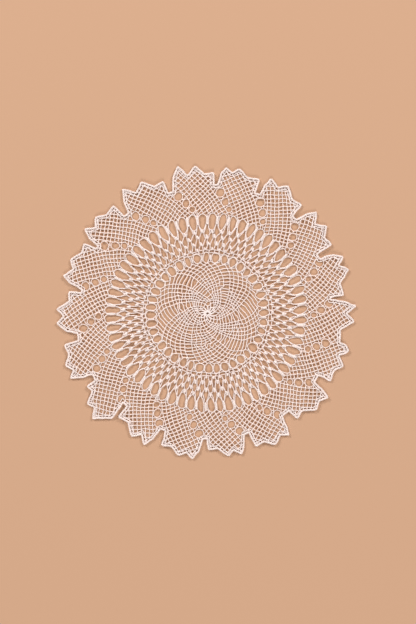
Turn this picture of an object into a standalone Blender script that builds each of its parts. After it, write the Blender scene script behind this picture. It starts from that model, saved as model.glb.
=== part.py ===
"""A round lace doily, 225 mm across, lying flat: one openwork sheet of white thread.

Lengths are in metres. The sheet lies on z = 0 with +Z up, and the middle of its outline's
box is the origin. From the centre outwards it has a star, six curved vanes with ladders of
cross bars between them, a ring of ovals, a net of knotted diamonds, a ring of longer ovals,
and eighteen toothed petals. Its eyelets of over 4 mm are cut through, up to 300 of them, and
the finer mesh is left solid.
"""
import math
import random
from collections import namedtuple

import bpy
from mathutils.geometry import delaunay_2d_cdt

MM = 0.001

SHEET_THICKNESS = 1.2 * MM
KNOT_HEIGHT = 1.8 * MM
STAR_HEIGHT = 1.8 * MM
STAR_RADIUS = 3.8 * MM
STAR_POINTS = 12

THREAD_COLOUR = (0.86, 0.83, 0.80, 1.0)
THREAD_ROUGHNESS = 0.85

# A handmade round is never true: its rings swell and drift a few times around.
Wave = namedtuple("Wave", "times amount crest_deg")
SWELL = [Wave(1, 0.011, 195), Wave(2, 0.011, 0), Wave(3, 0.012, 62)]
DRIFT_DEG = [Wave(1, 2.6, 120), Wave(2, 0.7, -40), Wave(3, 1.1, 25)]

# Rings of eyelets: how many, the radius of their middles, their length along the radius,
# their width, how much wider the outer end is, and where the first one lies.
Ring = namedtuple("Ring", "count radius length width flare first_deg")
INNER_OVALS = Ring(40, 42.0 * MM, 7.3 * MM, 4.3 * MM, 0.10, 1.2)
OUTER_OVALS = Ring(60, 69.3 * MM, 12.2 * MM, 5.3 * MM, 0.25, 2.5)
LOW_DIAMONDS = Ring(60, 57.2 * MM, 6.2 * MM, 4.2 * MM, 0.0, 2.5)
HIGH_DIAMONDS = Ring(60, 61.9 * MM, 6.0 * MM, 4.4 * MM, 0.0, 5.5)
OVAL_CORNERS = 9
OVAL_WOBBLE_DEG = 0.35
OVAL_WOBBLE_SEED = 18
# The share of a diamond's length over which its blunt side corners run.
DIAMOND_SIDE_FLAT = 0.22

# Rings of knots: how many, their radius, and where the first one lies.
KnotRing = namedtuple("KnotRing", "count radius first_deg")
KNOT_RINGS = [
    KnotRing(40, 42.0 * MM, 5.7),
    KnotRing(60, 52.5 * MM, 2.5),
    KnotRing(60, 57.2 * MM, 5.5),
    KnotRing(60, 61.9 * MM, 2.5),
    KnotRing(60, 68.2 * MM, 5.5),
]

# The ladders between the vanes curve outwards, anticlockwise. Each is named by its angle
# at the reference radius, and its turn from there is given for each of its slots.
LADDER_DEGS = [1, 61.5, 122, 180, 238, 301]
LadderSlot = namedtuple("LadderSlot", "radius turn_deg length")
LADDER_SLOTS = [
    LadderSlot(19.8 * MM, -12.0, 4.6 * MM),
    LadderSlot(24.2 * MM, -4.0, 6.0 * MM),
    LadderSlot(28.8 * MM, 0.5, 7.0 * MM),
    LadderSlot(33.4 * MM, 8.0, 7.2 * MM),
]
LADDER_SLOT_WIDTH = 2.4 * MM
LADDER_SLOT_LEAN_DEG = -56.0
LADDER_SLOT_CORNERS = 6

# One row for each petal, anticlockwise from +X: angles in degrees and radii in mm, from the
# star. A petal has a low square corner at its start, a middle tip, a valley, a high tip, a
# shoulder, and then the notch that parts it from the next one.
Petal = namedtuple(
    "Petal",
    "start_deg corner mid_deg mid_tip valley high_deg high_tip shoulder_deg notch_deg notch")
PETALS = [
    Petal(-12.0, 101.2, -3.3, 110.0, 104.0, 2.8, 111.6, 4.8, 6.4, 92.5),
    Petal(7.5, 102.5, 17.2, 110.5, 104.5, 22.8, 110.3, 25.3, 26.2, 93.0),
    Petal(28.8, 105.5, 36.5, 110.5, 104.5, 43.0, 111.8, 45.4, 46.9, 96.5),
    Petal(49.2, 107.5, 57.6, 113.3, 107.8, 64.9, 111.8, 66.5, 66.7, 97.0),
    Petal(69.0, 107.3, 77.8, 110.8, 107.2, 83.0, 110.6, 85.2, 86.3, 96.4),
    Petal(87.8, 105.8, 95.2, 111.0, 105.0, 102.0, 113.3, 104.8, 106.4, 95.0),
    Petal(108.8, 104.8, 117.2, 110.8, 105.5, 124.8, 113.8, 127.2, 128.9, 96.4),
    Petal(131.3, 107.9, 139.9, 111.5, 106.7, 145.9, 112.5, 148.0, 149.0, 97.2),
    Petal(150.7, 107.0, 158.6, 111.5, 107.0, 165.6, 112.7, 168.2, 169.6, 97.0),
    Petal(171.2, 106.5, 178.6, 114.5, 109.0, 184.0, 114.5, 187.1, 189.0, 99.8),
    Petal(192.3, 111.0, 200.3, 114.5, 110.0, 205.4, 114.8, 206.9, 208.2, 99.0),
    Petal(210.9, 106.5, 216.6, 113.9, 111.5, 222.4, 118.3, 227.7, 226.6, 93.2),
    Petal(229.0, 103.5, 238.1, 109.3, 104.5, 244.0, 110.5, 246.3, 247.8, 94.2),
    Petal(250.2, 105.7, 258.2, 109.5, 106.0, 263.6, 111.2, 266.2, 267.3, 94.9),
    Petal(269.6, 103.3, 277.7, 109.0, 105.0, 283.4, 109.2, 285.0, 286.5, 95.0),
    Petal(289.3, 106.7, 297.1, 111.2, 106.3, 303.7, 110.3, 304.9, 305.9, 95.3),
    Petal(309.7, 103.5, 318.2, 109.5, 106.3, 325.0, 110.5, 326.0, 327.2, 95.0),
    Petal(330.7, 105.2, 338.6, 108.8, 103.5, 345.0, 109.7, 347.0, 347.5, 101.0),
]
TIP_HALF_DEG = 0.45
TIP_ROUND = 0.7 * MM
# The ledge behind the low corner ends this far along to the middle tip, and falls this much.
LEDGE_SHARE = 0.52
LEDGE_DROP = 1.4 * MM
# The shoulder lies this far down from the high tip to the notch.
SHOULDER_SHARE = 0.45

# Three holes step down beside each notch, inwards and clockwise.
SideHole = namedtuple("SideHole", "back_deg radius length width")
SIDE_HOLES = [
    SideHole(1.9, 91.7 * MM, 5.6 * MM, 5.0 * MM),
    SideHole(4.9, 85.3 * MM, 5.0 * MM, 4.4 * MM),
    SideHole(7.5, 79.9 * MM, 3.8 * MM, 3.6 * MM),
]
SIDE_HOLE_CORNERS = 6
SIDE_HOLE_LEAN_DEG = -15.0

POINT_MERGE = 1e-7


def clear_scene():
    for old in list(bpy.data.objects):
        bpy.data.objects.remove(old, do_unlink=True)


def polar(degrees, radius):
    angle = math.radians(degrees)
    return (radius * math.cos(angle), radius * math.sin(angle))


def waves(rows, degrees):
    return sum(row.amount * math.cos(row.times * math.radians(degrees - row.crest_deg))
               for row in rows)


def on_ring(degrees, radius):
    """A ring's place after the swell and drift that every ring shares."""
    return degrees + waves(DRIFT_DEG, degrees), radius * (1 + waves(SWELL, degrees))


def hole(degrees, radius, local_points, lean_deg=0.0):
    """Points given as (along the radius, across it), turned by the lean and put in place."""
    middle = polar(degrees, radius)
    turn = math.radians(degrees + lean_deg)
    along = (math.cos(turn), math.sin(turn))
    return [
        (middle[0] + out * along[0] - side * along[1], middle[1] + out * along[1] + side * along[0])
        for out, side in local_points
    ]


def oval_points(length, width, corners, flare=0.0):
    points = []
    for step in range(corners):
        angle = 2 * math.pi * step / corners
        out = math.cos(angle)
        points.append((out * length / 2, math.sin(angle) * (1 + flare * out) * width / 2))
    return points


def diamond_points(length, width):
    """A diamond whose side corners are blunt, where knots sit."""
    flat = DIAMOND_SIDE_FLAT * length / 2
    return [
        (length / 2, 0.0), (flat, width / 2), (-flat, width / 2),
        (-length / 2, 0.0), (-flat, -width / 2), (flat, -width / 2),
    ]


def oval_ring(ring, chance):
    holes = []
    for step in range(ring.count):
        degrees, radius = on_ring(ring.first_deg + 360 * step / ring.count, ring.radius)
        degrees += chance.uniform(-OVAL_WOBBLE_DEG, OVAL_WOBBLE_DEG)
        points = oval_points(ring.length, ring.width, OVAL_CORNERS, ring.flare)
        holes.append(hole(degrees, radius, points))
    return holes


def diamond_ring(ring):
    holes = []
    for step in range(ring.count):
        degrees, radius = on_ring(ring.first_deg + 360 * step / ring.count, ring.radius)
        holes.append(hole(degrees, radius, diamond_points(ring.length, ring.width)))
    return holes


def ladder_slots():
    return [
        hole(ladder + slot.turn_deg, slot.radius,
             oval_points(slot.length, LADDER_SLOT_WIDTH, LADDER_SLOT_CORNERS),
             LADDER_SLOT_LEAN_DEG)
        for ladder in LADDER_DEGS for slot in LADDER_SLOTS
    ]


def side_holes():
    holes = []
    for petal in PETALS:
        for row in SIDE_HOLES:
            radius = row.radius * (1 + waves(SWELL, petal.notch_deg))
            points = oval_points(row.length, row.width, SIDE_HOLE_CORNERS)
            holes.append(hole(petal.notch_deg - row.back_deg, radius, points, SIDE_HOLE_LEAN_DEG))
    return holes


def knot_points():
    points = []
    for ring in KNOT_RINGS:
        for step in range(ring.count):
            points.append(polar(*on_ring(ring.first_deg + 360 * step / ring.count, ring.radius)))
    return points


def tip(degrees, radius):
    """A blunt tip: its point and a shoulder on each side, about a thread away."""
    return [
        polar(degrees - TIP_HALF_DEG, radius - TIP_ROUND),
        polar(degrees, radius),
        polar(degrees + TIP_HALF_DEG, radius - TIP_ROUND),
    ]


def petal_edge(petal, next_petal):
    """The petal's edge from its low corner, over both tips and down into the notch."""
    corner, mid_tip = petal.corner * MM, petal.mid_tip * MM
    high_tip, notch = petal.high_tip * MM, petal.notch * MM
    ledge_deg = petal.start_deg + LEDGE_SHARE * (petal.mid_deg - petal.start_deg)
    valley_deg = (petal.mid_deg + petal.high_deg) / 2
    shoulder = high_tip + SHOULDER_SHARE * (notch - high_tip)
    return [
        polar(petal.start_deg, corner - TIP_ROUND),
        polar(petal.start_deg + TIP_HALF_DEG, corner),
        polar(ledge_deg, corner - LEDGE_DROP),
        *tip(petal.mid_deg, mid_tip),
        polar(valley_deg, petal.valley * MM),
        *tip(petal.high_deg, high_tip),
        polar(petal.shoulder_deg, shoulder),
        polar(petal.notch_deg, notch),
        polar(next_petal.start_deg - TIP_HALF_DEG, notch),
    ]


def outline_points():
    points = []
    for row, petal in enumerate(PETALS):
        points += petal_edge(petal, PETALS[(row + 1) % len(PETALS)])
    return points


def star_points():
    return [polar(360 * step / STAR_POINTS, STAR_RADIUS) for step in range(STAR_POINTS)]


def inside(point, loop):
    """Whether a line from the point crosses the loop an odd number of times."""
    x, y = point
    crossed = False
    for (ax, ay), (bx, by) in zip(loop, loop[1:] + loop[:1]):
        if (ay > y) != (by > y) and x < ax + (y - ay) * (bx - ax) / (by - ay):
            crossed = not crossed
    return crossed


def fill(loops, loose_points):
    """Triangles between the outline, which is the first loop, and the convex holes.

    A triangle whose corners all lie on one hole fills that hole, so it is left out.
    """
    points, edges, loop_of = [], [], []
    for number, loop in enumerate(loops):
        start = len(points)
        points += loop
        loop_of += [number] * len(loop)
        edges += [(start + i, start + (i + 1) % len(loop)) for i in range(len(loop))]
    points += loose_points
    loop_of += [-1] * len(loose_points)

    _, _, faces, sources, _, _ = delaunay_2d_cdt(points, edges, [], 0, POINT_MERGE)
    triangles = []
    for face in faces:
        corners = [sources[vertex][0] for vertex in face]
        owners = {loop_of[corner] for corner in corners}
        if len(owners) == 1 and owners != {-1} and not keeps(corners, points, owners, loops[0]):
            continue
        triangles.append(corners)
    return points, edges, triangles


def keeps(corners, points, owners, outline):
    """A triangle on one loop is material only if the loop is the outline and holds it."""
    if owners != {0}:
        return False
    middle = [sum(points[corner][axis] for corner in corners) / 3 for axis in range(2)]
    return inside(middle, outline)


def lace_sheet(loops, top_points, top_heights):
    """One closed sheet: a raised top, a flat underside and the walls of every loop."""
    points, edges, top = fill(loops, top_points)
    _, _, underside = fill(loops, [])
    edge_count = len(points) - len(top_points)
    heights = [SHEET_THICKNESS] * edge_count + top_heights
    vertices = [(x, y, z) for (x, y), z in zip(points, heights)]
    vertices += [(x, y, 0.0) for x, y in points[:edge_count]]
    below = len(points)

    faces = [tuple(triangle) for triangle in top]
    faces += [tuple(below + corner for corner in reversed(triangle)) for triangle in underside]
    used = {(tri[i], tri[(i + 1) % 3]) for tri in top for i in range(3)}
    for start, end in edges:
        if (start, end) not in used:
            start, end = end, start
        faces.append((end, start, below + start, below + end))
    return vertices, faces


def thread_material():
    material = bpy.data.materials.new("white_thread")
    material.use_nodes = True
    shader = material.node_tree.nodes["Principled BSDF"]
    shader.inputs["Base Color"].default_value = THREAD_COLOUR
    shader.inputs["Roughness"].default_value = THREAD_ROUGHNESS
    shader.inputs["Metallic"].default_value = 0.0
    return material


def box_middle(points):
    across = [x for x, _ in points]
    up = [y for _, y in points]
    return (min(across) + max(across)) / 2, (min(up) + max(up)) / 2


def build_doily():
    chance = random.Random(OVAL_WOBBLE_SEED)
    outline = outline_points()
    holes = oval_ring(INNER_OVALS, chance) + oval_ring(OUTER_OVALS, chance)
    holes += diamond_ring(LOW_DIAMONDS) + diamond_ring(HIGH_DIAMONDS)
    holes += ladder_slots() + side_holes()
    knots, star = knot_points(), star_points()
    raised = knots + [(0.0, 0.0)] + star
    heights = [KNOT_HEIGHT] * len(knots) + [STAR_HEIGHT] + [SHEET_THICKNESS] * len(star)

    middle_x, middle_y = box_middle(outline)
    vertices, faces = lace_sheet([outline] + holes, raised, heights)
    vertices = [(x - middle_x, y - middle_y, z) for x, y, z in vertices]

    mesh = bpy.data.meshes.new("lace_doily")
    mesh.from_pydata(vertices, [], faces)
    mesh.validate()
    doily = bpy.data.objects.new("lace_doily", mesh)
    bpy.context.scene.collection.objects.link(doily)
    mesh.materials.append(thread_material())
    return doily


def main():
    clear_scene()
    build_doily()


main()
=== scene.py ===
"""A lace doily made thread by thread: a swirl, rings of ovals, a knotted net and petals.

Plans are drawn in millimetres and degrees round the middle of the rings, with x to the right,
y up the photograph and angles anticlockwise. The meshes are written in metres.
"forward" threads swing anticlockwise on their way out, "backward" threads clockwise.
"""
import math
import random
from collections import namedtuple

import bpy
import numpy as np
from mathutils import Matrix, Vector


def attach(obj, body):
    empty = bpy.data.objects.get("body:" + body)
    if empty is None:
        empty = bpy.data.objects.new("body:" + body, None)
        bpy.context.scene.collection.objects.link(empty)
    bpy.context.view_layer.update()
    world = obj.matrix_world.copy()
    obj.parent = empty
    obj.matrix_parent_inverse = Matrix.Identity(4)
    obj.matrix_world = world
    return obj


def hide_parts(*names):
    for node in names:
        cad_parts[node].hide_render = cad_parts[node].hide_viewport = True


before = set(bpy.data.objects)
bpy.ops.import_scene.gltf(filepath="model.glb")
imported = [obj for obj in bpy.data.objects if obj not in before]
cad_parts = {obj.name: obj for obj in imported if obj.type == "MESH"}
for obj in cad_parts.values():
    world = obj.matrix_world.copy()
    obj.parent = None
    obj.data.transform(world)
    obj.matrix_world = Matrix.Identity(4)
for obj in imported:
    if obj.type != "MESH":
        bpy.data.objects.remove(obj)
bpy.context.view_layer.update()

NODE = "lace_doily"
MM = 0.001
SEED = 7  # each group of random draws starts from this and a number of its own

# ---- sizes shared with the solid
# Each ring of the doily swells and drifts by the same waves: so many times round, by this
# much (a share of the radius, or degrees), with the crest at this angle.
Wave = namedtuple("Wave", "times amount crest_deg")
SWELL = [Wave(1, 0.011, 195.0), Wave(2, 0.011, 0.0), Wave(3, 0.012, 62.0)]
DRIFT_DEG = [Wave(1, 2.6, 120.0), Wave(2, 0.7, -40.0), Wave(3, 1.1, 25.0)]

Ring = namedtuple("Ring", "count radius length width flare first_deg")
INNER_OVALS = Ring(40, 42.0, 7.3, 4.3, 0.10, 1.2)
OUTER_OVALS = Ring(60, 69.3, 12.2, 5.3, 0.25, 2.5)
OVAL_WOBBLE_DEG = 0.35
OVAL_WOBBLE_SEED = 18
# The outer ovals lean over a little, some one way and some the other.
OVAL_LEAN_DEG = 3.5
OVAL_LEANS = [Wave(1, 3.0, -50.0), Wave(2, 6.0, 35.0), Wave(3, 4.0, 7.0)]

# One row for each petal, anticlockwise from +X. A petal has a low square corner at its start,
# a middle tip, a valley, a high tip, a shoulder, and then the notch that parts it from the
# next one. lean_deg is how far its forward threads lean from the petal's own radius.
Petal = namedtuple(
    "Petal",
    "start_deg corner mid_deg mid_tip valley high_deg high_tip shoulder_deg notch_deg notch"
    " lean_deg")
PETALS = [
    Petal(-12.0, 101.2, -3.3, 110.0, 104.0, 2.8, 111.6, 4.8, 6.4, 92.5, 34),
    Petal(7.5, 102.5, 17.2, 110.5, 104.5, 22.8, 110.3, 25.3, 26.2, 93.0, 37),
    Petal(28.8, 105.5, 36.5, 110.5, 104.5, 43.0, 111.8, 45.4, 46.9, 96.5, 33),
    Petal(49.2, 107.5, 57.6, 113.3, 107.8, 64.9, 111.8, 66.5, 66.7, 97.0, 33),
    Petal(69.0, 107.3, 77.8, 110.8, 107.2, 83.0, 110.6, 85.2, 86.3, 96.4, 38),
    Petal(87.8, 105.8, 95.2, 111.0, 105.0, 102.0, 113.3, 104.8, 106.4, 95.0, 37),
    Petal(108.8, 104.8, 117.2, 110.8, 105.5, 124.8, 113.8, 127.2, 128.9, 96.4, 35),
    Petal(131.3, 107.9, 139.9, 111.5, 106.7, 145.9, 112.5, 148.0, 149.0, 97.2, 33),
    Petal(150.7, 107.0, 158.6, 111.5, 107.0, 165.6, 112.7, 168.2, 169.6, 97.0, 34),
    Petal(171.2, 106.5, 178.6, 114.5, 109.0, 184.0, 114.5, 187.1, 189.0, 99.8, 33),
    Petal(192.3, 111.0, 200.3, 114.5, 110.0, 205.4, 114.8, 206.9, 208.2, 99.0, 34),
    Petal(210.9, 106.5, 216.6, 113.9, 111.5, 222.4, 118.3, 227.7, 226.6, 93.2, 39),
    Petal(229.0, 103.5, 238.1, 109.3, 104.5, 244.0, 110.5, 246.3, 247.8, 94.2, 33),
    Petal(250.2, 105.7, 258.2, 109.5, 106.0, 263.6, 111.2, 266.2, 267.3, 94.9, 35),
    Petal(269.6, 103.3, 277.7, 109.0, 105.0, 283.4, 109.2, 285.0, 286.5, 95.0, 35),
    Petal(289.3, 106.7, 297.1, 111.2, 106.3, 303.7, 110.3, 304.9, 305.9, 95.3, 32),
    Petal(309.7, 103.5, 318.2, 109.5, 106.3, 325.0, 110.5, 326.0, 327.2, 95.0, 38),
    Petal(330.7, 105.2, 338.6, 108.8, 103.5, 345.0, 109.7, 347.0, 347.5, 101.0, 42),
]
TIP_HALF_DEG = 0.45  # a notch's floor ends this far short of the next petal's corner
LEDGE_SHARE = 0.52  # how far from the square corner to the middle tip the ledge is
LEDGE_DROP = 1.4  # and how much nearer to the star than the corner
SHOULDER_SHARE = 0.45  # how far down from the high tip to the notch the shoulder is

# Three holes step down beside each notch, inwards and clockwise.
SideHole = namedtuple("SideHole", "back_deg radius length width")
SIDE_HOLES = [
    SideHole(1.9, 91.7, 5.6, 5.0),
    SideHole(4.9, 85.3, 5.0, 4.4),
    SideHole(7.5, 79.9, 3.8, 3.6),
]
SIDE_HOLE_LEAN_DEG = -15.0

# ---- sizes of the threads
FINE = 0.33  # radius of the threads in the petals and the swirl
CORD = 0.31  # radius of the threads round the ovals
SIDE_THREAD = 0.27  # radius of the threads round the side holes and between them
TIE = 0.26  # radius of the short threads inside the edge cord
EDGE_STRAND = 0.41  # radius of each of the edge cord's two strands
EDGE_TWIST = 3.0  # length in which the edge cord turns once
STRANDS_APART = 0.92  # how far two strands lie from their middle, as a share of their radius
STRANDS_FLAT = 0.85  # a cord's height over its width
FINE_SIDES = 5
CORD_SIDES = 6
FINE_STEP = 0.75  # length of a thread's segments
NET_STEP = 1.5  # and of the petals' threads, which are nearly straight
CORD_STEP = 0.55
EDGE_STEP = 0.42
CUT_STEP = 0.15  # how finely a thread is tested against the holes
SHORTEST = 0.9  # shorter scraps of thread are left out
TAPER = 0.6  # the share of a thread's radius that is left at its ends

# Heights of the middles of threads and knots above the table.
RESTING = 0.35
CROSSING = 0.10  # forward threads pass this far above it, backward a third of this below
FORWARD_HEIGHT = RESTING + CROSSING
BACKWARD_HEIGHT = RESTING - CROSSING / 3
BEAD_HEIGHT = RESTING + 0.12  # also of the knotted net's threads
RIM_HEIGHT = RESTING + 0.05
SIDE_HEIGHT = RESTING + 0.15
TIE_HEIGHT = RESTING + 0.1
EDGE_HEIGHT = RESTING + 0.41
END_HEIGHT = RESTING + 0.2

# How the ovals' loops differ from the solid's holes.
OPEN_MORE = 0.22  # how much further out they lie
SIDE_OPEN_MORE = 0.40  # and the same for the side holes' loops
# How much narrower or wider, and shorter or longer, than the ring's ovals each loop is.
Shares = namedtuple("Shares", "narrow wide short long longer")
INNER_SHARES = Shares(0.86, 1.24, 0.80, 1.02, [])
OUTER_SHARES = Shares(0.80, 1.03, 0.86, 0.98, [Wave(1, 0.07, 165.0)])
LOOP_LEAN_DEG = 6  # each loop's own lean, either way
# Dents go so many times round a loop, by a share of its size between the least and the most.
DENTS = [(3, 0.02, 0.07), (4, 0.01, 0.04)]
ANY_PHASE = 6.3  # about a whole turn, in radians

# Knots where two fine threads cross, and those at the knotted net's end, are small beads.
Bead = namedtuple("Bead", "length width height")
SWIRL_BEAD = Bead(1.1, 0.84, 0.80)
PETAL_BEAD = Bead(1.1, 0.86, 0.80)
END_BEAD = Bead(2.2, 1.5, 1.0)
BEAD_SHARES = (0.9, 1.15)
SWIRL_BEAD_TURN_DEG = (15, 60)
PETAL_BEAD_TURN_DEG = 25
# A bead's width, as a share of its widest, at these shares of its half length.
BEAD_PLACES = (-1.0, -0.5, 0.5, 1.0)
BEAD_SWELL = (0.34, 0.96, 0.96, 0.34)

# Wrapped knots and bars are close turns of thread, with their middle this high above the
# table. The belly is the share of the width at the start, a third, two thirds and the end.
Winding = namedtuple("Winding", "middle height turns thread belly")
ROUND_ENDS = (0.6, 0.97, 0.97, 0.6)
KNOT_WINDING = Winding(0.80, 1.4, 4.5, 0.36, ROUND_ENDS)
INNER_WINDING = Winding(0.80, 1.3, 6.5, 0.33, ROUND_ENDS)
OUTER_WINDING = Winding(0.80, 1.3, 9.0, 0.36, (0.72, 0.98, 0.90, 0.70))
POST_WINDING = Winding(0.55, 1.1, 2.5, 0.30, ROUND_ENDS)
TURN_POINTS = 9

# ---- the swirl's sizes
# Vanes of net between ladders. Angles are those at a radius of 28.5. step_deg is how much
# further round a vane starts before the last of its cells opens. late is how much further out
# than CELL_OPENS its new cells open.
Vane = namedtuple("Vane", "first_deg last_deg cells step_deg late")
VANES = [
    Vane(18.5, 54.6, 5, 0.0, 1.3),
    Vane(67.5, 111.8, 6, 8.0, -0.8),
    Vane(132.0, 168.6, 5, 0.0, 0.4),
    Vane(191.0, 230.0, 5, 0.0, -1.2),
    Vane(243.5, 295.5, 7, 0.0, 0.9),
    Vane(316.0, 351.3, 5, 0.0, 0.0),
]
# Each row is a radius and how far, in degrees, the vanes have turned by there. One smooth
# curve of this order runs close to all the rows.
VANE_TURN = [(2.0, -92), (3.0, -86), (4.3, -77), (6.5, -62), (9.8, -45), (13.5, -28),
             (19.5, -13), (25.5, -2.8), (28.5, 0), (33.4, 8), (37.5, 15)]
TURN_ORDER = 6
# Near the star the vanes' edges stand evenly, a step apart from the first one.
EVEN_FIRST_DEG = 15.8
EVEN_STEP_DEG = 30
EVEN_UNTIL, VANES_FROM = 5.0, 10.5
CELL_OPENS = [5.2, 8.0, 10.5, 16.0, 21.0, 25.0]
CELL_GROWS = 3.0  # how much further out a split cell's halves have grown
TO_ONE_SIDE = 0.1  # a vane's middle cells open first, and of two as near, the later one
BARS = 38  # backward threads
BAR_ORDER = 23  # the next thread opens this many places on from the last
BARS_UNEVEN = 0.10  # how much wider or narrower the gaps between them are
# Each row is how many backward threads there are, and the radius by which they have opened.
BAR_OPENINGS = [(10, 5.5), (13, 8.2), (18, 10.5), (25, 14.5), (31, 19.0), (38, 26.0)]
BAR_THICK = 1.15  # how much thicker a backward thread is where it bridges a ladder
# Each row is a radius and the backward threads' slope to it there.
BAR_SLOPE = [(2.0, 1.1), (6.0, 1.2), (9.0, 1.35), (12.0, 1.2), (15.0, 1.0), (18.0, 1.1),
             (22.5, 1.3), (25.5, 1.5), (30.0, 1.7), (33.0, 2.0), (37.0, 2.1), (40.0, 1.8)]
SWIRL_START = 2.1  # where the forward threads leave the star's coil
BARS_START = 3.9  # and the nearest to it that the backward ones begin
BEAD_AFTER = 0.8  # the knots begin this much further out than a thread does
# Each row is a radius and how thick the threads are there. They run together near the star.
SWIRL_THICK = [(2.1, 2.0), (4.0, 1.8), (5.8, 1.1), (8.0, 0.96), (14.0, 0.94), (22.0, 1.0)]
SWIRL_END = 39.6
SWIRL_STEP = 0.12

# The star lies beside the middle of the rings. The swirl moves over to it from this radius
# inwards, over this length.
STAR_SHIFT = (-0.9, 0.0)
SHIFT_FROM, SHIFT_OVER = 13.0, 9.0
COIL_TURNS = 4
COIL_POINTS = 150
COIL_THREAD = 0.34
COIL_RADIUS, COIL_GROWS = 0.95, 1.45
COIL_HEIGHT, COIL_SINKS = 1.15, 0.3

# ---- the rings' sizes
INNER_BAR_LENGTH = 5.0
INNER_BAR_WIDTHS = (1.3, 1.9)
INNER_BAR_LEAN_DEG = 8
BAR_LENGTH = 7.0
BAR_WIDTH = 2.35
BAR_OUT = 1.4  # how far out from the ovals' middles the middle of an outer bar is

# The knotted net between the rings of ovals: sixty knots to a row, each half a step on from
# the row outside it.
NetRow = namedtuple("NetRow", "radius half_steps")
NET_ROWS = [NetRow(62.0, 0), NetRow(57.6, 1), NetRow(52.6, 0), NetRow(48.9, 1)]
NET_WOBBLE_DEG, NET_WOBBLE = 0.35, 0.35
KNOT_LEAN_DEG = 14.0
KNOT_LEANS = [Wave(1, 12.0, 95.0)]
KNOT_TURN_DEG = 12  # each knot's own lean, either way
KNOT_OUT = 0.2  # how far a knot's middle lies beyond its threads, along its lean
KNOT_SHARES = (0.9, 1.1)
KNOT_LENGTH = 3.5
KNOT_WIDTHS = [2.1, 2.0, 1.9]
# The net turns anticlockwise on its way in, by this much at its last row.
NET_TURN_DEG = 1.6
NET_TURNS = [Wave(1, 1.4, 60.0)]
# The thread between two knots is a curve by two points beside each of them. A row is how far
# the point lies to the side that the thread runs to, and how far outwards.
LINK_START = [(0.75, 0.2), (0.85, -1.8)]
LINK_END = [(-1.55, 1.8), (-1.15, -1.0)]
LINK_STRANDS = (0.22, 0.27)
LINK_TWIST = 1.9

# The close band inside the net: an inner ring that goes in and out, an outer one, and posts.
BAND_COUNT = 80
BAND_RING = 46.1
BAND_DIP = 0.9
BAND_TOP = 47.8
BAND_WOBBLE = 0.5
POST_WOBBLE_DEG = 0.8
POST_TURN_DEG = 30
POST_LENGTH = 2.6
POST_WIDTHS = (1.0, 1.5)
END_IN = 0.4  # how far inwards of the last threads' ends their knots lie

# ---- the petals' sizes
# A petal's net is laid out round a middle, with these threads on each side of it, which all
# move over by up to half a gap, and is then cut to the petal.
NET_MIDDLE = 91.5
FORWARD_THREADS = range(-11, 12)
BACKWARD_THREADS = range(-13, 11)
FORWARD_PITCH = 2.96
BACKWARD_PITCH = 2.74
PITCH_GROWTH = 0.024  # each gap between backward threads is this much wider than the last
NET_MOVES = 0.5
# The forward threads bend anticlockwise on their way out.
NET_BEND = 0.0064
BEND_EASES = 0.000134
# The net's inner corner sinks towards the star: the part this far clockwise of the middle,
# from this far out of the middle inwards, over this length.
CORNER_SINKS = 0.016
CORNER_ASIDE, CORNER_FROM, CORNER_OVER = 8.0, 2.0, 8.0
NET_REACH = 46.0  # half the length of a thread before it is cut
OVAL_GAP_FLOOR = 72.6  # the net starts at this radius, between the outer ovals
# The strip of side holes starts at this radius, so far round from the notch, and ends past it.
STRIP_START, STRIP_START_DEG = 72.0, -11.2
STRIP_PAST, STRIP_PAST_DEG = 2.5, 0.3
SIDE_PAST = 0.6  # how far the thread between the holes runs on into the edge
EDGE_INSET = 0.55  # how far in from the outline the edge cord runs
SECOND_INSET = 2.45  # and the second thread inside it
TIE_EVERY = 6  # how many of the edge cord's points there are to a tie
MITRE_LEAST = 0.35  # keeps an inset loop's corners from running far out

# ---- looks and the camera
FINE_COLOUR = (0.945, 0.825, 0.79)
CORD_COLOUR = (0.945, 0.84, 0.81)
FINE_PLY_TURN = 1.1  # length in which a thread's plies turn once
CORD_PLY_TURN = 1.3
PLIES = 2
FLOOR_COLOUR = (0.56, 0.343, 0.220, 1.0)
FLOOR_SIZE = 6.0
FLOOR_LEVEL = -0.0001
WORLD_COLOUR = (1.0, 0.86, 0.74, 1.0)
WORLD_STRENGTH = 0.30
Lamp = namedtuple("Lamp", "name place size power colour")
LAMPS = [
    Lamp("key", (-1.6, 1.6, 1.3), 0.75, 48.3, (1.0, 0.99, 0.99)),
    Lamp("second_key", (1.65, 1.5, 1.3), 0.75, 41.7, (1.0, 0.99, 0.99)),
    Lamp("fill", (0.2, -2.2, 1.3), 0.9, 34.1, (0.98, 0.985, 1.0)),
]
CAMERA_LENS = 85.0
CAMERA_SENSOR = 36.0
PHOTO_SIZE = (416, 624)
PHOTO_MIDDLE = (208.5, 313.0)
MM_PER_PIXEL = 0.75


# ---- plans
def polar(degrees, radius):
    angle = np.radians(degrees)
    return np.stack([radius * np.cos(angle), radius * np.sin(angle)], axis=-1)


def angle_of(points):
    return np.degrees(np.arctan2(points[..., 1], points[..., 0]))


def leftwards(along):
    """Square to the direction, anticlockwise of it."""
    return np.stack([-along[..., 1], along[..., 0]], axis=-1)


def waves(rows, degrees):
    return sum(row.amount * np.cos(row.times * np.radians(degrees - row.crest_deg))
               for row in rows)


def read_off(rows, radius):
    """The second column of a table at this place of its first."""
    return np.interp(radius, *zip(*rows))


def smooth_step(value):
    value = np.clip(value, 0, 1)
    return value * value * (3 - 2 * value)


def size_of(vectors):
    return np.linalg.norm(vectors, axis=-1)


def unit(vectors):
    return vectors / np.maximum(size_of(vectors), 1e-9)[..., None]


def either_way(chance, most):
    return chance.uniform(-most, most)


def scattered(chance, most, count):
    return np.array([either_way(chance, most) for _ in range(count)])


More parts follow.
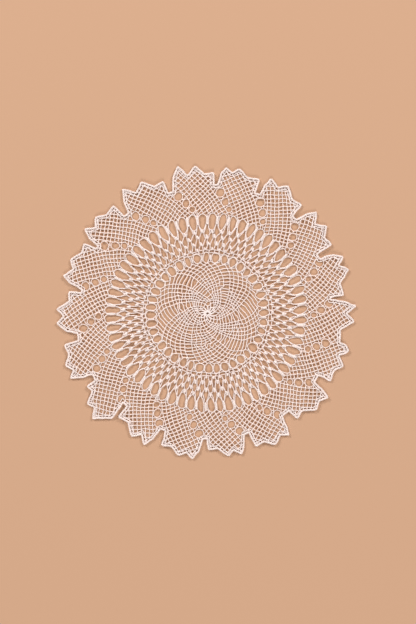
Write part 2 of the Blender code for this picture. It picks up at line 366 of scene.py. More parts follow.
def on_ring_points(degrees, radius):
    """Points that swell and drift as the rings do."""
    return polar(degrees + waves(DRIFT_DEG, degrees), radius * (1 + waves(SWELL, degrees)))


def oval(degrees, radius, length, width, flare=0.0, lean_deg=0.0, corners=28):
    """The loop of an oval that stands along the radius, wider at its outer end."""
    step = np.arange(corners) * math.tau / corners
    out = np.cos(step) * length / 2
    side = np.sin(step) * (1 + flare * np.cos(step)) * width / 2
    along = polar(degrees + lean_deg, 1.0)
    return polar(degrees, radius) + out[:, None] * along + side[:, None] * leftwards(along)


Place = namedtuple("Place", "degrees radius lean_deg")


def oval_places(ring, chance, lean_deg=0.0, leans=()):
    places = []
    for step in range(ring.count):
        degrees = ring.first_deg + 360 * step / ring.count
        radius = ring.radius * (1 + waves(SWELL, degrees))
        degrees = degrees + waves(DRIFT_DEG, degrees) + either_way(chance, OVAL_WOBBLE_DEG)
        places.append(Place(degrees, radius, lean_deg + waves(leans, degrees)))
    return places


def oval_loops(ring, places, shares):
    """The ovals' loops. No two are quite alike in size, lean or roundness."""
    chance = random.Random(SEED + 5)
    grow = CORD + OPEN_MORE
    loops = []
    for place in places:
        width = ring.width * chance.uniform(shares.narrow, shares.wide)
        longer = waves(shares.longer, place.degrees)
        length = ring.length * (chance.uniform(shares.short, shares.long) + longer)
        lean = place.lean_deg + either_way(chance, LOOP_LEAN_DEG)
        loop = oval(place.degrees, place.radius, length + 2 * grow, width + 2 * grow,
                    ring.flare, lean)
        turn = np.arange(len(loop)) * math.tau / len(loop)
        dents = sum(
            chance.uniform(least, most) * np.sin(times * turn + chance.uniform(0, ANY_PHASE))
            for times, least, most in DENTS)
        middle = loop.mean(axis=0)
        loops.append(middle + (loop - middle) * (1 + dents)[:, None])
    return loops


def side_hole_loops():
    grow = SIDE_THREAD + SIDE_OPEN_MORE
    loops = []
    for petal in PETALS:
        for row in SIDE_HOLES:
            radius = row.radius * (1 + waves(SWELL, petal.notch_deg))
            loops.append(oval(petal.notch_deg - row.back_deg, radius, row.length + 2 * grow,
                              row.width + 2 * grow, lean_deg=SIDE_HOLE_LEAN_DEG))
    return loops


def petal_corners(petal, next_petal):
    """The petal's edge, its tips left sharp."""
    ledge_deg = petal.start_deg + LEDGE_SHARE * (petal.mid_deg - petal.start_deg)
    shoulder = petal.high_tip + SHOULDER_SHARE * (petal.notch - petal.high_tip)
    return [
        polar(petal.start_deg, petal.corner),
        polar(ledge_deg, petal.corner - LEDGE_DROP),
        polar(petal.mid_deg, petal.mid_tip),
        polar((petal.mid_deg + petal.high_deg) / 2, petal.valley),
        polar(petal.high_deg, petal.high_tip),
        polar(petal.shoulder_deg, shoulder),
        polar(petal.notch_deg, petal.notch),
        polar(next_petal.start_deg - TIP_HALF_DEG, petal.notch),
    ]


CORNERS = np.concatenate([petal_corners(petal, next_petal)
                          for petal, next_petal in zip(PETALS, PETALS[1:] + PETALS[:1])])
# The frame's middle is that of the petals' box, and this is where the rings' middle is in it.
MIDDLE = -(CORNERS.min(axis=0) + CORNERS.max(axis=0)) / 2


def inset(loop, distance):
    """The closed loop, anticlockwise, with every side moved inwards by the distance."""
    inward = leftwards(unit(np.roll(loop, -1, axis=0) - loop))
    both = np.roll(inward, 1, axis=0) + inward
    stretch = 2 / np.maximum((both ** 2).sum(axis=1), MITRE_LEAST)
    return loop + distance * both * stretch[:, None]


def within(points, loop):
    """For each point, whether a line from it crosses the loop an odd number of times."""
    x, y = points[:, :1], points[:, 1:]
    ax, ay = loop[:, 0], loop[:, 1]
    bx, by = np.roll(ax, -1), np.roll(ay, -1)
    rise = np.where(by == ay, 1.0, by - ay)
    crossed = ((ay > y) != (by > y)) & (x < ax + (y - ay) * (bx - ax) / rise)
    return crossed.sum(axis=1) % 2 == 1


def in_any(points, loops):
    """For each point, whether it lies in one of the small loops."""
    found = np.zeros(len(points), dtype=bool)
    for loop in loops:
        middle = loop.mean(axis=0)
        reach = size_of(loop - middle).max()
        near = np.abs(points - middle).max(axis=1) < reach
        if near.any():
            found[near] |= within(points[near], loop)
    return found


def length_along(points):
    """The length of the line from its start to each of its points."""
    return np.concatenate([[0], np.cumsum(size_of(np.diff(points, axis=0)))])


def even(points, step):
    """The same line with its points a step apart."""
    length = length_along(points)
    count = max(2, int(round(length[-1] / step)) + 1)
    at = np.linspace(0, length[-1], count)
    return np.column_stack([np.interp(at, length, values) for values in points.T])


def even_loop(loop, step):
    """The same closed loop with its points a step apart."""
    return even(np.concatenate([loop, loop[:1]]), step)[:-1]


def softened(loop, step, reach):
    """The closed loop with its corners rounded and its points a step apart."""
    path = even_loop(loop, step)
    steps = int(round(reach / step))
    near = [np.roll(path, shift, axis=0) for shift in range(-steps, steps + 1)]
    return sum(near) / len(near)


def cut(line, keep):
    """The pieces of a finely drawn line that are kept, without the scraps."""
    edges = np.flatnonzero(np.diff(keep, prepend=False, append=False))
    pieces = [line[start:end] for start, end in zip(edges[::2], edges[1::2])]
    return [piece for piece in pieces if len(piece) > 2 and length_along(piece)[-1] > SHORTEST]


# ---- how hand work strays
Sway = namedtuple("Sway", "ahead push start")


def make_sways(chance, count, shortest, longest, push):
    """Waves that run any way over the plan, with lengths from the shortest to the longest."""
    sways = []
    for _ in range(count):
        heading, size = chance.uniform(0, 360), chance.uniform(shortest, longest)
        side, start = chance.uniform(0, 360), chance.uniform(0, math.tau)
        sways.append(Sway(polar(heading, math.tau / size), polar(side, push), start))
    return sways


UP = np.array([0.0, 0.0, 1.0])
HAND = random.Random(SEED)
SWAYS = (make_sways(HAND, count=7, shortest=9.0, longest=22.0, push=0.13)
         + make_sways(HAND, count=9, shortest=4.0, longest=8.0, push=0.055))
LIFTS = make_sways(HAND, count=6, shortest=14.0, longest=45.0, push=0.16)
LIFTED_MORE = 0.12  # without this, half of the lace would lie flat on the table


def strayed(plan):
    moved = plan.copy()
    for sway in SWAYS:
        moved += np.sin(plan @ sway.ahead + sway.start)[:, None] * sway.push
    return moved


def lifted(plan):
    """How far the lace stands off the table there."""
    height = sum(np.sin(plan @ lift.ahead + lift.start) * abs(lift.push[0]) for lift in LIFTS)
    return np.maximum(height + LIFTED_MORE, 0.0)


def laid(plan, height):
    """The plan's points on the table, with their middle at the height above it."""
    plan = np.asarray(plan)
    return np.column_stack([strayed(plan), height + lifted(plan)])


# ---- yarn
def add_object(name, data):
    added = bpy.data.objects.new(name, data)
    bpy.context.scene.collection.objects.link(added)
    return added


def directions(path, up):
    """At each point of the path, which way is sideways and which way is over it."""
    ahead = unit(np.gradient(path, axis=0))
    side = unit(np.cross(ahead, up))
    return side, np.cross(side, ahead)


class Yarn:
    """Closed tubes and beads, gathered into one mesh. uv holds the length along a thread, in
    millimetres, and the share of the way round it."""

    def __init__(self):
        self.vertices, self.quads, self.caps, self.uvs = [], [], [], []
        self.count = 0

    def tube(self, path, radius, sides, up=UP, flat=1.0):
        """A tube along the path, closed at both ends. Flat is its height over its width."""
        side, over = directions(path, up)
        radius = radius * np.ones(len(path))
        radius[[0, -1]] *= TAPER
        turn = np.arange(sides) * math.tau / sides
        ring = (np.cos(turn)[:, None] * side[:, None]
                + flat * np.sin(turn)[:, None] * over[:, None])
        points = path[:, None] + radius[:, None, None] * ring
        self.vertices.append(points.reshape(-1, 3))
        self.add_faces(len(path), sides)
        self.add_uvs(length_along(path), sides)

    def add_faces(self, rings, sides):
        here = self.count + np.arange(rings * sides).reshape(rings, sides)
        after = np.roll(here, -1, axis=1)
        quads = np.stack([here[:-1], here[1:], after[1:], after[:-1]], axis=-1)
        self.quads.append(quads.reshape(-1, 4))
        self.caps += [here[0], here[-1, ::-1]]
        self.count += here.size

    def add_uvs(self, length, sides):
        uv = np.stack(np.meshgrid(length, np.arange(sides + 1) / sides, indexing="ij"), axis=-1)
        corners = np.stack([uv[:-1, :-1], uv[1:, :-1], uv[1:, 1:], uv[:-1, 1:]], axis=2)
        self.uvs.append(corners.reshape(-1, 2))

    def closed_tube(self, loop, radius, sides):
        """A tube round a loop: its ends meet and pass a little way into each other."""
        self.tube(np.concatenate([loop, loop[:2]]), radius, sides)

    def piece(self, name, material):
        mesh = bpy.data.meshes.new(name)
        vertices = np.concatenate(self.vertices)
        vertices[:, :2] += MIDDLE
        faces = np.concatenate(self.quads).tolist() + [cap.tolist() for cap in self.caps]
        mesh.from_pydata((vertices * MM).tolist(), [], faces)
        mesh.polygons.foreach_set("use_smooth", [True] * len(faces))
        cap_corners = sum(len(cap) for cap in self.caps)
        uv = np.concatenate(self.uvs + [np.zeros((cap_corners, 2))])
        layer = mesh.uv_layers.new(name="thread_uv")
        layer.uv.foreach_set("vector", uv.astype(np.float32).ravel())
        mesh.materials.append(material)
        mesh.update()
        piece = add_object(name, mesh)
        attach(piece, "root")
        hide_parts(NODE)
        return piece


def bead(yarn, place, along_deg, shape, share=1.0):
    """A small knot: a short lump along a direction, closed to points at both ends."""
    along = np.append(polar(along_deg, 1.0), 0.0)
    length, width = shape.length * share, shape.width * share
    path = place + np.array(BEAD_PLACES)[:, None] * along * length / 2
    radius = np.array(BEAD_SWELL) * width / 2
    radius[[0, -1]] /= TAPER
    yarn.tube(path, radius, FINE_SIDES, flat=shape.height * share / width)


def wrap(yarn, place, along_deg, length, width, winding):
    """A knot of close turns of thread round a bar that lies along a direction."""
    along = np.append(polar(along_deg, 1.0), 0.0)
    side = np.append(leftwards(along), 0.0)
    share = np.linspace(0, 1, int(winding.turns * TURN_POINTS) + 1)
    angle = math.tau * winding.turns * share
    swell = np.interp(share, [0.0, 0.33, 0.67, 1.0], winding.belly)
    out = (np.cos(angle)[:, None] * side * (width / 2 - winding.thread)
           + np.sin(angle)[:, None] * UP * (winding.height / 2 - winding.thread)
           ) * swell[:, None]
    path = (laid([place], winding.middle)
            + (share - 0.5)[:, None] * along * (length - 2 * winding.thread) + out)
    yarn.tube(path, winding.thread, FINE_SIDES, up=unit(out))


def twisted(yarn, path, strand, pitch, sides):
    """A cord of two strands wound round each other along the path."""
    length = length_along(path)
    side, over = directions(path, UP)
    for start in (0, 0.5):
        angle = math.tau * (length / pitch + start)
        out = np.cos(angle)[:, None] * side + STRANDS_FLAT * np.sin(angle)[:, None] * over
        yarn.tube(path + STRANDS_APART * strand * out, strand, sides)


# ---- the swirl
def vane_turn(radius):
    radii, degrees = zip(*VANE_TURN)
    return np.polyval(np.polyfit(np.log(radii), degrees, TURN_ORDER), np.log(radius))


def bar_turn(radius):
    """How far the backward threads have turned clockwise at each radius of a fine scale."""
    slope = read_off(BAR_SLOPE, radius)
    steps = (slope[1:] + slope[:-1]) / 2 * np.diff(np.log(radius))
    return -np.degrees(np.concatenate([[0], np.cumsum(steps)]))


Curve = namedtuple("Curve", "degrees radius start")


def split_cells(cells, order, opens, radius):
    """The widths of cells that open one by one, and where the first line of each begins. The
    nearest open cell before a new one splits in two, and both halves grow to full width."""
    widths = np.zeros((cells, len(radius)))
    widths[0] = 1.0
    starts = [0.0] * cells
    opened = [0]
    for cell, start in zip(order, opens):
        parent = max(other for other in opened if other < cell)
        grown = 0.5 + 0.5 * smooth_step((radius - start) / CELL_GROWS)
        split = np.where(radius < start, 1.0, grown)
        widths[cell] = np.where(radius < start, 0.0, widths[parent] * split)
        widths[parent] *= split
        starts[cell] = start
        opened.append(cell)
    return widths, starts


def line_shares(widths):
    """How far across all the cells each line between them runs, from 0 to 1."""
    gone = np.concatenate([np.zeros_like(widths[:1]), np.cumsum(widths, axis=0)])
    return gone / gone[-1]


def forward_curves(radius):
    """The vanes' own threads. New cells open one by one as the vane widens."""
    curves = []
    turn = vane_turn(radius)
    near = smooth_step((VANES_FROM - radius) / (VANES_FROM - EVEN_UNTIL))
    for number, vane in enumerate(VANES):
        order = sorted(range(1, vane.cells),
                       key=lambda cell: abs(cell - vane.cells / 2 - TO_ONE_SIDE))
        opens = [start + vane.late for start in CELL_OPENS]
        widths, starts = split_cells(vane.cells, order, opens, radius)
        even_first = EVEN_FIRST_DEG + 2 * EVEN_STEP_DEG * number
        last_opened = opens[vane.cells - 2]
        first = vane.first_deg + vane.step_deg * (
            1 - smooth_step((radius - last_opened) / CELL_GROWS))
        first += (even_first - first) * near
        last = vane.last_deg + (even_first + EVEN_STEP_DEG - vane.last_deg) * near
        for share, start in zip(line_shares(widths), starts + [0.0]):
            degrees = first + (last - first) * share
            curves.append(Curve(degrees + turn, radius, max(start, SWIRL_START)))
    return curves


def backward_curves(radius):
    """The threads that cross the vanes and bridge the ladders between them."""
    chance = random.Random(SEED + 1)
    order = [place * BAR_ORDER % BARS for place in range(1, BARS)]
    opens = read_off(BAR_OPENINGS, range(1, BARS))
    first_threads = BAR_OPENINGS[0][0]
    opens[:first_threads - 1] = -CELL_GROWS  # these are there from the start
    widths, starts = split_cells(BARS, order, opens, radius)
    uneven = 1 + scattered(chance, BARS_UNEVEN, BARS)
    turn = bar_turn(radius)
    return [Curve(360 * share + turn, radius, max(start, BARS_START))
            for share, start in zip(line_shares(widths * uneven[:, None]), starts)]


def swirl_points(degrees, radius):
    """The swirl swells like the rings round it, and its middle is the star."""
    swollen = radius * (1 + waves(SWELL, degrees) * np.clip(radius / SWIRL_END, 0, 1) ** 2)
    pull = smooth_step((SHIFT_FROM - radius) / SHIFT_OVER)
    return polar(degrees, swollen) + pull[..., None] * STAR_SHIFT


def crossings(forward, backward, least=0.0):
    """Where two curves over the same radii meet, beyond the starts of both."""
    wraps = np.floor((forward.degrees - backward.degrees) / 360)
    from_radius = max(forward.start, backward.start) + least
    return [(forward.degrees[at], forward.radius[at])
            for at in np.flatnonzero(np.diff(wraps)) if forward.radius[at] > from_radius]


def begun(curves, others, earliest):
    """The curves, each new one begun where it first meets one of the others."""
    found = []
    for curve in curves:
        met = [radius for other in others for _, radius in crossings(curve, other)]
        start = curve.start if curve.start <= earliest or not met else min(met)
        found.append(Curve(curve.degrees, curve.radius, start))
    return found


def on_ladder(points):
    """For each point of the swirl, whether it lies between two vanes."""
    place = (angle_of(points) - vane_turn(size_of(points))) % 360
    return np.all([(place < vane.first_deg) | (place > vane.last_deg) for vane in VANES], axis=0)


def swirl_threads(net, curves, height, holes, ladder_thick):
    for curve in curves:
        shown = curve.radius >= curve.start
        line = swirl_points(curve.degrees[shown], curve.radius[shown])
        for piece in cut(line, ~in_any(line, holes)):
            path = even(piece, FINE_STEP)
            thick = np.where(on_ladder(path), ladder_thick, 1.0)
            thick *= read_off(SWIRL_THICK, size_of(path))
            net.tube(laid(path, height + FINE * (thick - 1)), FINE * thick, FINE_SIDES)


def swirl_beads(net, forward, backward, holes):
    chance = random.Random(SEED + 2)
    for one in forward:
        for other in backward:
            for degrees, at in crossings(one, other, BEAD_AFTER):
                place = swirl_points(degrees, at)[None]
                if not in_any(place, holes)[0]:
                    share = chance.uniform(*BEAD_SHARES) * read_off(SWIRL_THICK, at)
                    bead(net, laid(place, BEAD_HEIGHT)[0],
                         degrees + chance.uniform(*SWIRL_BEAD_TURN_DEG), SWIRL_BEAD, share)


def swirl_net(net, holes):
    radius = np.arange(SWIRL_START, SWIRL_END, SWIRL_STEP)
    forward, backward = forward_curves(radius), backward_curves(radius)
    forward = begun(forward, backward, SWIRL_START)
    backward = begun(backward, forward, 0.0)
    swirl_threads(net, forward, FORWARD_HEIGHT, holes, 1.0)
    swirl_threads(net, backward, BACKWARD_HEIGHT, holes, BAR_THICK)
    swirl_beads(net, forward, backward, holes)


# ---- rings
def round_ovals(yarn, loops, radius):
    for loop in loops:
        yarn.closed_tube(laid(even_loop(loop, CORD_STEP), RIM_HEIGHT), radius, CORD_SIDES)


def between(places):
    """The places halfway between neighbours on a ring."""
    middles = []
    for here, there in zip(places, places[1:] + places[:1]):
        if there.degrees < here.degrees - 180:
            there = there._replace(degrees=there.degrees + 360)
        middles.append(Place(*np.add(here, there) / 2))
    return middles


def along_bar(bar, out):
    """A point on the bar between two ovals, so far outwards from its middle."""
    return polar(bar.degrees, bar.radius) + polar(bar.degrees + bar.lean_deg, out)


def inner_bars(yarn, places):
    chance = random.Random(SEED + 9)
    for bar in between(places):
        wrap(yarn, along_bar(bar, 0), bar.degrees + either_way(chance, INNER_BAR_LEAN_DEG),
             INNER_BAR_LENGTH, chance.uniform(*INNER_BAR_WIDTHS), INNER_WINDING)


def outer_bars(yarn, places):
    for bar in between(places):
        wrap(yarn, along_bar(bar, BAR_OUT), bar.degrees + bar.lean_deg, BAR_LENGTH,
             BAR_WIDTH, OUTER_WINDING)


def handles(place, way, rows):
    """Points beside a knot. The way is 1 for anticlockwise and -1 for clockwise."""
    outwards = unit(place)
    side = way * leftwards(outwards)
    return [place + aside * side + out * outwards for aside, out in rows]


def link(knot, end, way):
    """A thread that leaves the knot's inner corner and runs in along the end's side."""
    first, second, third, fourth = handles(knot, way, LINK_START) + handles(end, way, LINK_END)
    share = np.linspace(0, 1, 12)[:, None]
    rest = 1 - share
    return (rest ** 3 * first + 3 * rest ** 2 * share * second
            + 3 * rest * share ** 2 * third + share ** 3 * fourth)


def net_rows(outer):
    """The places of the net's knots. The first row are the feet of the outer ovals' bars."""
    chance = random.Random(SEED + 3)
    half = 180 / OUTER_OVALS.count
    rows = [np.array([along_bar(bar, BAR_OUT - BAR_LENGTH / 2) for bar in between(outer)])]
    for row in NET_ROWS:
        degrees = (OUTER_OVALS.first_deg + half * row.half_steps
                   + 2 * half * np.arange(OUTER_OVALS.count))
        degrees += scattered(chance, NET_WOBBLE_DEG, len(degrees))
        inward = (NET_ROWS[0].radius - row.radius) / (NET_ROWS[0].radius - NET_ROWS[-1].radius)
        degrees += inward * (NET_TURN_DEG + waves(NET_TURNS, degrees))
        radius = row.radius + scattered(chance, NET_WOBBLE, len(degrees))
        rows.append(on_ring_points(degrees, radius))
    return rows


def wrapped_knot(knots, knot, width, chance):
    degrees = angle_of(knot)
    lean = degrees + KNOT_LEAN_DEG + waves(KNOT_LEANS, degrees)
    lean += either_way(chance, KNOT_TURN_DEG)
    share = chance.uniform(*KNOT_SHARES)
    wrap(knots, knot + polar(lean, KNOT_OUT), lean, KNOT_LENGTH * share, width * share,
         KNOT_WINDING)


def middle_net(net, knots, outer):
    """Rows of knots, each joined by two threads to the two knots inside it."""
    chance = random.Random(SEED + 8)
    rows = net_rows(outer)
    for number, (row, inner) in enumerate(zip(rows, rows[1:])):
        # The knot clockwise of an outer one has the same number in every other row, and one
        # less in those between.
        back = -(number % 2)
        for step, knot in enumerate(row):
            for way, forth in ((-1, 0), (1, 1)):
                end = inner[(step + back + forth) % OUTER_OVALS.count]
                path = laid(even(link(knot, end, way), CORD_STEP), BEAD_HEIGHT)
                twisted(net, path, chance.uniform(*LINK_STRANDS), LINK_TWIST, FINE_SIDES)
            if number:
                wrapped_knot(knots, knot, KNOT_WIDTHS[number - 1], chance)
    return rows[-1]


def band(net, net_ends):
    """Two rings with short posts between them. The knotted net's last threads meet in small
    knots on the outer one."""
    chance = random.Random(SEED + 7)
    step = 360 / BAND_COUNT
    number = np.arange(BAND_COUNT)
    degrees = INNER_OVALS.first_deg + step * number
    inner = on_ring_points(degrees, BAND_RING - BAND_DIP * (number % 2))
    outer = on_ring_points(degrees, BAND_TOP + scattered(chance, BAND_WOBBLE, BAND_COUNT))
    for ring in (inner, outer):
        net.closed_tube(laid(even_loop(ring, FINE_STEP), RESTING), CORD, FINE_SIDES)
    for post in degrees + step / 2:
        post += either_way(chance, POST_WOBBLE_DEG)
        middle = on_ring_points(post, (BAND_RING - BAND_DIP / 2 + BAND_TOP) / 2)
        wrap(net, middle, post + either_way(chance, POST_TURN_DEG), POST_LENGTH,
             chance.uniform(*POST_WIDTHS), POST_WINDING)
    for end in net_ends:
        degrees = angle_of(end)
        bead(net, laid([end - polar(degrees, END_IN)], END_HEIGHT)[0], degrees, END_BEAD)


# ---- the petals
def strip_degrees(petal, radius):
    """The middle of the strip of holes that parts a petal from the next one."""
    swell = 1 + waves(SWELL, petal.notch_deg)
    rows = sorted((row.radius * swell, -row.back_deg) for row in SIDE_HOLES)
    rows = [(STRIP_START, STRIP_START_DEG), *rows, (petal.notch + STRIP_PAST, STRIP_PAST_DEG)]
    return petal.notch_deg + read_off(rows, radius)


def petal_frame(petal, before):
    """The middle of a petal's net and the directions of its two families of thread."""
    start = before.notch_deg - (360 if before.notch_deg > petal.notch_deg else 0)
    middle_deg = (start + petal.notch_deg) / 2
    forward = polar(middle_deg + petal.lean_deg, 1.0)
    return polar(middle_deg, NET_MIDDLE), forward, -leftwards(forward)


def bent(points, middle, backward):
    """The petal's straight net, bent to the way the threads really run."""
    out = unit(middle)
    up, along = (points - middle) @ out, (points - middle) @ leftwards(out)
    aside = NET_BEND * up ** 2 - BEND_EASES * up ** 3
    inner = smooth_step((CORNER_FROM - up) / CORNER_OVER)
    sunk = CORNER_SINKS * np.minimum(along + CORNER_ASIDE, 0.0) ** 2 * inner
    return points - aside[:, None] * backward - sunk[:, None] * out


def backward_offset(number):
    """Where along a forward thread a backward one crosses it; they spread outwards."""
    return BACKWARD_PITCH / PITCH_GROWTH * (np.exp(PITCH_GROWTH * number) - 1)


def in_petal(points, petal, before, edge, holes):
    radius, degrees = size_of(points), angle_of(points)
    middle_deg = (petal.start_deg + petal.notch_deg) / 2
    degrees = middle_deg + (degrees - middle_deg + 180) % 360 - 180
    first = strip_degrees(before, radius)
    first -= 360 * np.round((first - middle_deg) / 360)
    swell = 1 + waves(SWELL, degrees)
    keep = (degrees > first) & (degrees < strip_degrees(petal, radius))
    keep &= radius > OVAL_GAP_FLOOR * swell
    keep[keep] = within(points[keep], edge)
    keep[keep] = ~in_any(points[keep], holes)
    return keep


def petal_net(net, edge, holes):
    chance = random.Random(SEED + 4)
    span = np.arange(-NET_REACH, NET_REACH, CUT_STEP)[:, None]
    for before, petal in zip(PETALS[-1:] + PETALS, PETALS):
        middle, forward, backward = petal_frame(petal, before)
        near = [loop for loop in holes if size_of(loop.mean(axis=0) - middle) < NET_REACH]
        columns = [middle - backward * FORWARD_PITCH * column
                   for column in np.array(FORWARD_THREADS) + either_way(chance, NET_MOVES)]
        rows = [forward * backward_offset(row)
                for row in np.array(BACKWARD_THREADS) + either_way(chance, NET_MOVES)]
        lines = [(column + forward * span, FORWARD_HEIGHT) for column in columns]
        lines += [(middle + row + backward * span, BACKWARD_HEIGHT) for row in rows]
        for straight, height in lines:
            line = bent(straight, middle, backward)
            for piece in cut(line, in_petal(line, petal, before, edge, near)):
                net.tube(laid(even(piece, NET_STEP), height), FINE, FINE_SIDES)
        places = bent(np.array([column + row for column in columns for row in rows]),
                      middle, backward)
        places = places[in_petal(places, petal, before, edge, near)]
        for place in laid(places, BEAD_HEIGHT):
            share = chance.uniform(*BEAD_SHARES)
            turn = either_way(chance, PETAL_BEAD_TURN_DEG)
            bead(net, place, angle_of(forward) + turn, PETAL_BEAD, share)


def side_threads(yarn, holes):
    """The thread between two petals' nets, which runs inwards from hole to hole."""
    for petal in PETALS:
        swell = 1 + waves(SWELL, petal.notch_deg)
        radius = np.arange(OVAL_GAP_FLOOR * swell, petal.notch + SIDE_PAST, CUT_STEP)
        line = polar(strip_degrees(petal, radius), radius)
        for piece in cut(line, ~in_any(line, holes)):
            yarn.tube(laid(even(piece, FINE_STEP), SIDE_HEIGHT), SIDE_THREAD, FINE_SIDES)


def edge_cords(edge_cord, yarn):
    """The cord round the edge, the second thread inside it and the ties between them."""
    edge = softened(inset(CORNERS, EDGE_INSET), EDGE_STEP, 2 * EDGE_STEP)
    path = np.concatenate([edge, edge[:1]])
    twisted(edge_cord, laid(path, EDGE_HEIGHT), EDGE_STRAND, EDGE_TWIST, CORD_SIDES)
    second = softened(inset(CORNERS, SECOND_INSET), FINE_STEP, FINE_STEP)
    yarn.closed_tube(laid(second, RIM_HEIGHT), FINE, FINE_SIDES)
    for start in edge[::TIE_EVERY]:
        end = second[size_of(second - start).argmin()]
        yarn.tube(laid(even(np.array([start, end]), FINE_STEP), TIE_HEIGHT), TIE, FINE_SIDES)


# ---- the star
def star(yarn):
    """A close coil with a small hole in its middle."""
    spiral = np.linspace(0, 1, COIL_POINTS)
    path = polar(360 * COIL_TURNS * spiral, COIL_RADIUS + COIL_GROWS * spiral) + STAR_SHIFT
    yarn.tube(laid(path, COIL_HEIGHT - COIL_SINKS * spiral), COIL_THREAD, CORD_SIDES)


# ---- materials
def new_material(name):
    """The material, its node tree and its shader."""
    material = bpy.data.materials.new(name)
    material.use_nodes = True
    return material, material.node_tree, material.node_tree.nodes["Principled BSDF"]


def set_inputs(node, values):
    for name, value in values.items():
        node.inputs[name].default_value = value


def maths(tree, operation, first, second):
    node = tree.nodes.new("ShaderNodeMath")
    node.operation = operation
    for socket, value in zip(node.inputs, (first, second)):
        if isinstance(value, float):
            socket.default_value = value
        else:
            tree.links.new(value, socket)
    return node.outputs["Value"]


def noise(tree, scale, detail, roughness=0.5):
    node = tree.nodes.new("ShaderNodeTexNoise")
    set_inputs(node, {"Scale": scale, "Detail": detail, "Roughness": roughness})
    place = tree.nodes.new("ShaderNodeTexCoord")
    tree.links.new(place.outputs["Object"], node.inputs["Vector"])
    return node.outputs[0]


def ply_ridges(tree, ply_turn):
    """From 0 in the grooves between a thread's plies to 1 on the plies."""
    thread = tree.nodes.new("ShaderNodeUVMap")
    thread.uv_map = "thread_uv"
    apart = tree.nodes.new("ShaderNodeSeparateXYZ")
    tree.links.new(thread.outputs["UV"], apart.inputs["Vector"])
    along = maths(tree, "MULTIPLY", apart.outputs["X"], math.tau / ply_turn)
    around = maths(tree, "MULTIPLY", apart.outputs["Y"], math.tau * PLIES)
    ply = maths(tree, "SINE", maths(tree, "ADD", along, around), 0.0)
    return maths(tree, "MULTIPLY", maths(tree, "ADD", ply, 1.0), 0.5)


def add_bump(tree, shader, ridge, fuzz):
    relief = maths(tree, "ADD", maths(tree, "MULTIPLY", ridge, 0.7),
                   maths(tree, "MULTIPLY", fuzz, 0.5))
    bump = tree.nodes.new("ShaderNodeBump")
    set_inputs(bump, {"Strength": 0.6, "Distance": 0.00012})
    tree.links.new(relief, bump.inputs["Height"])
    tree.links.new(bump.outputs["Normal"], shader.inputs["Normal"])


def add_groove_shade_and_tone(tree, shader, ridge, cloud, colour):
    """Painted shade: the colour is darker in the grooves between the plies. It also changes
    slowly over the lace, as the cotton's own whiteness does.
    """
    groove = tree.nodes.new("ShaderNodeValToRGB")
    low, high = groove.color_ramp.elements
    # The darkest colour, 0.8 of the thread's own: painted shade in the grooves between the
    # plies, and the cotton's darker patches where the slow changes dip.
    low.color = (*[part * 0.80 for part in colour], 1.0)
    high.color = (*colour, 1.0)
    low.position, high.position = 0.10, 0.62
    shade = maths(tree, "ADD", maths(tree, "MULTIPLY", ridge, 0.55),
                  maths(tree, "MULTIPLY", cloud, 0.5))
    tree.links.new(shade, groove.inputs["Fac"])
    tree.links.new(groove.outputs["Color"], shader.inputs["Base Color"])


def thread_material(name, colour, ply_turn):
    """Cotton: plies that wind round the thread, painted shade in the grooves between them, fuzz,
    and slow changes of whiteness.
    """
    material, tree, shader = new_material(name)
    set_inputs(shader, {"Sheen Weight": 0.25, "Sheen Roughness": 0.5,
                        "Specular IOR Level": 0.25})
    ridge = ply_ridges(tree, ply_turn)
    fuzz = noise(tree, 5200.0, 3.0, 0.65)
    add_bump(tree, shader, ridge, fuzz)
    # Painted shade in the ply grooves, and slow random changes of the cotton's whiteness.
    add_groove_shade_and_tone(tree, shader, ridge, noise(tree, 60.0, 4.0), colour)
    rough = tree.nodes.new("ShaderNodeMapRange")
    set_inputs(rough, {"To Min": 0.72, "To Max": 0.95})
    tree.links.new(fuzz, rough.inputs["Value"])
    tree.links.new(rough.outputs["Result"], shader.inputs["Roughness"])
    return material


# ---- floor, light and camera
def add_floor():
    material, _, shader = new_material("pale_floor")
    set_inputs(shader, {"Base Color": FLOOR_COLOUR, "Roughness": 0.75,
                        "Specular IOR Level": 0.2})
    mesh = bpy.data.meshes.new("floor")
    half = FLOOR_SIZE / 2
    mesh.from_pydata(
        [(-half, -half, 0), (half, -half, 0), (half, half, 0), (-half, half, 0)], [],
        [(0, 1, 2, 3)])
    mesh.materials.append(material)
    floor = add_object("floor", mesh)
    floor.location.z = FLOOR_LEVEL


def add_lamp(lamp):
    data = bpy.data.lights.new(lamp.name, "AREA")
    data.shape = "DISK"
    data.size = lamp.size
    data.energy = lamp.power
    data.color = lamp.colour
    light = add_object(lamp.name, data)
    light.location = lamp.place
    light.rotation_euler = (-Vector(lamp.place)).to_track_quat("-Z", "Y").to_euler()


def add_world():
    world = bpy.data.worlds.new("studio")
    world.use_nodes = True
    set_inputs(world.node_tree.nodes["Background"],
               {"Color": WORLD_COLOUR, "Strength": WORLD_STRENGTH})
    bpy.context.scene.world = world


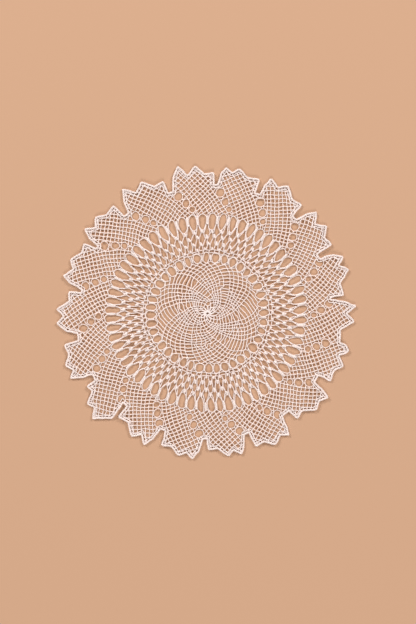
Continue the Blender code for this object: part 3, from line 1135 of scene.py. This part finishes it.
def add_camera():
    """Straight above, framed as the photograph is. The Standard view keeps the thread white."""
    data = bpy.data.cameras.new("camera")
    data.lens = CAMERA_LENS
    data.sensor_width = CAMERA_SENSOR
    data.clip_start = 0.01
    camera = add_object("camera", data)
    aim_x = MIDDLE[0] + (PHOTO_SIZE[0] / 2 - PHOTO_MIDDLE[0]) * MM_PER_PIXEL
    aim_y = MIDDLE[1] + (PHOTO_MIDDLE[1] - PHOTO_SIZE[1] / 2) * MM_PER_PIXEL
    height = PHOTO_SIZE[1] * MM_PER_PIXEL * CAMERA_LENS / CAMERA_SENSOR
    camera.location = (aim_x * MM, aim_y * MM, height * MM)
    bpy.context.scene.camera = camera
    bpy.context.scene.view_settings.view_transform = "Standard"


# ---- everything
def build_lace():
    chance = random.Random(OVAL_WOBBLE_SEED)
    inner = oval_places(INNER_OVALS, chance)
    outer = oval_places(OUTER_OVALS, chance, OVAL_LEAN_DEG, OVAL_LEANS)
    inner_rims = oval_loops(INNER_OVALS, inner, INNER_SHARES)
    outer_rims = oval_loops(OUTER_OVALS, outer, OUTER_SHARES)
    side_rims = side_hole_loops()

    swirl, middle, middle_knots, rims, bars, petals, edge, centre = [Yarn() for _ in range(8)]
    swirl_net(swirl, inner_rims)
    band(middle, middle_net(middle, middle_knots, outer))
    round_ovals(rims, inner_rims + outer_rims, CORD)
    inner_bars(bars, inner)
    outer_bars(bars, outer)
    petal_net(petals, inset(CORNERS, EDGE_INSET), outer_rims + side_rims)
    round_ovals(petals, side_rims, SIDE_THREAD)
    side_threads(petals, outer_rims + side_rims)
    edge_cords(edge, rims)
    star(centre)

    fine = thread_material("fine_cotton", FINE_COLOUR, FINE_PLY_TURN)
    thick = thread_material("cord_cotton", CORD_COLOUR, CORD_PLY_TURN)
    petals_piece = petals.piece("petal_net", fine)
    swirl_piece = swirl.piece("swirl_net", fine)
    others = [
        middle.piece("middle_net", fine),
        middle_knots.piece("middle_knots", thick),
        rims.piece("oval_rims", thick),
        bars.piece("oval_bars", thick),
        edge.piece("edge_cord", thick),
        centre.piece("star", thick),
    ]


build_lace()
add_floor()
for lamp in LAMPS:
    add_lamp(lamp)
add_world()
add_camera()
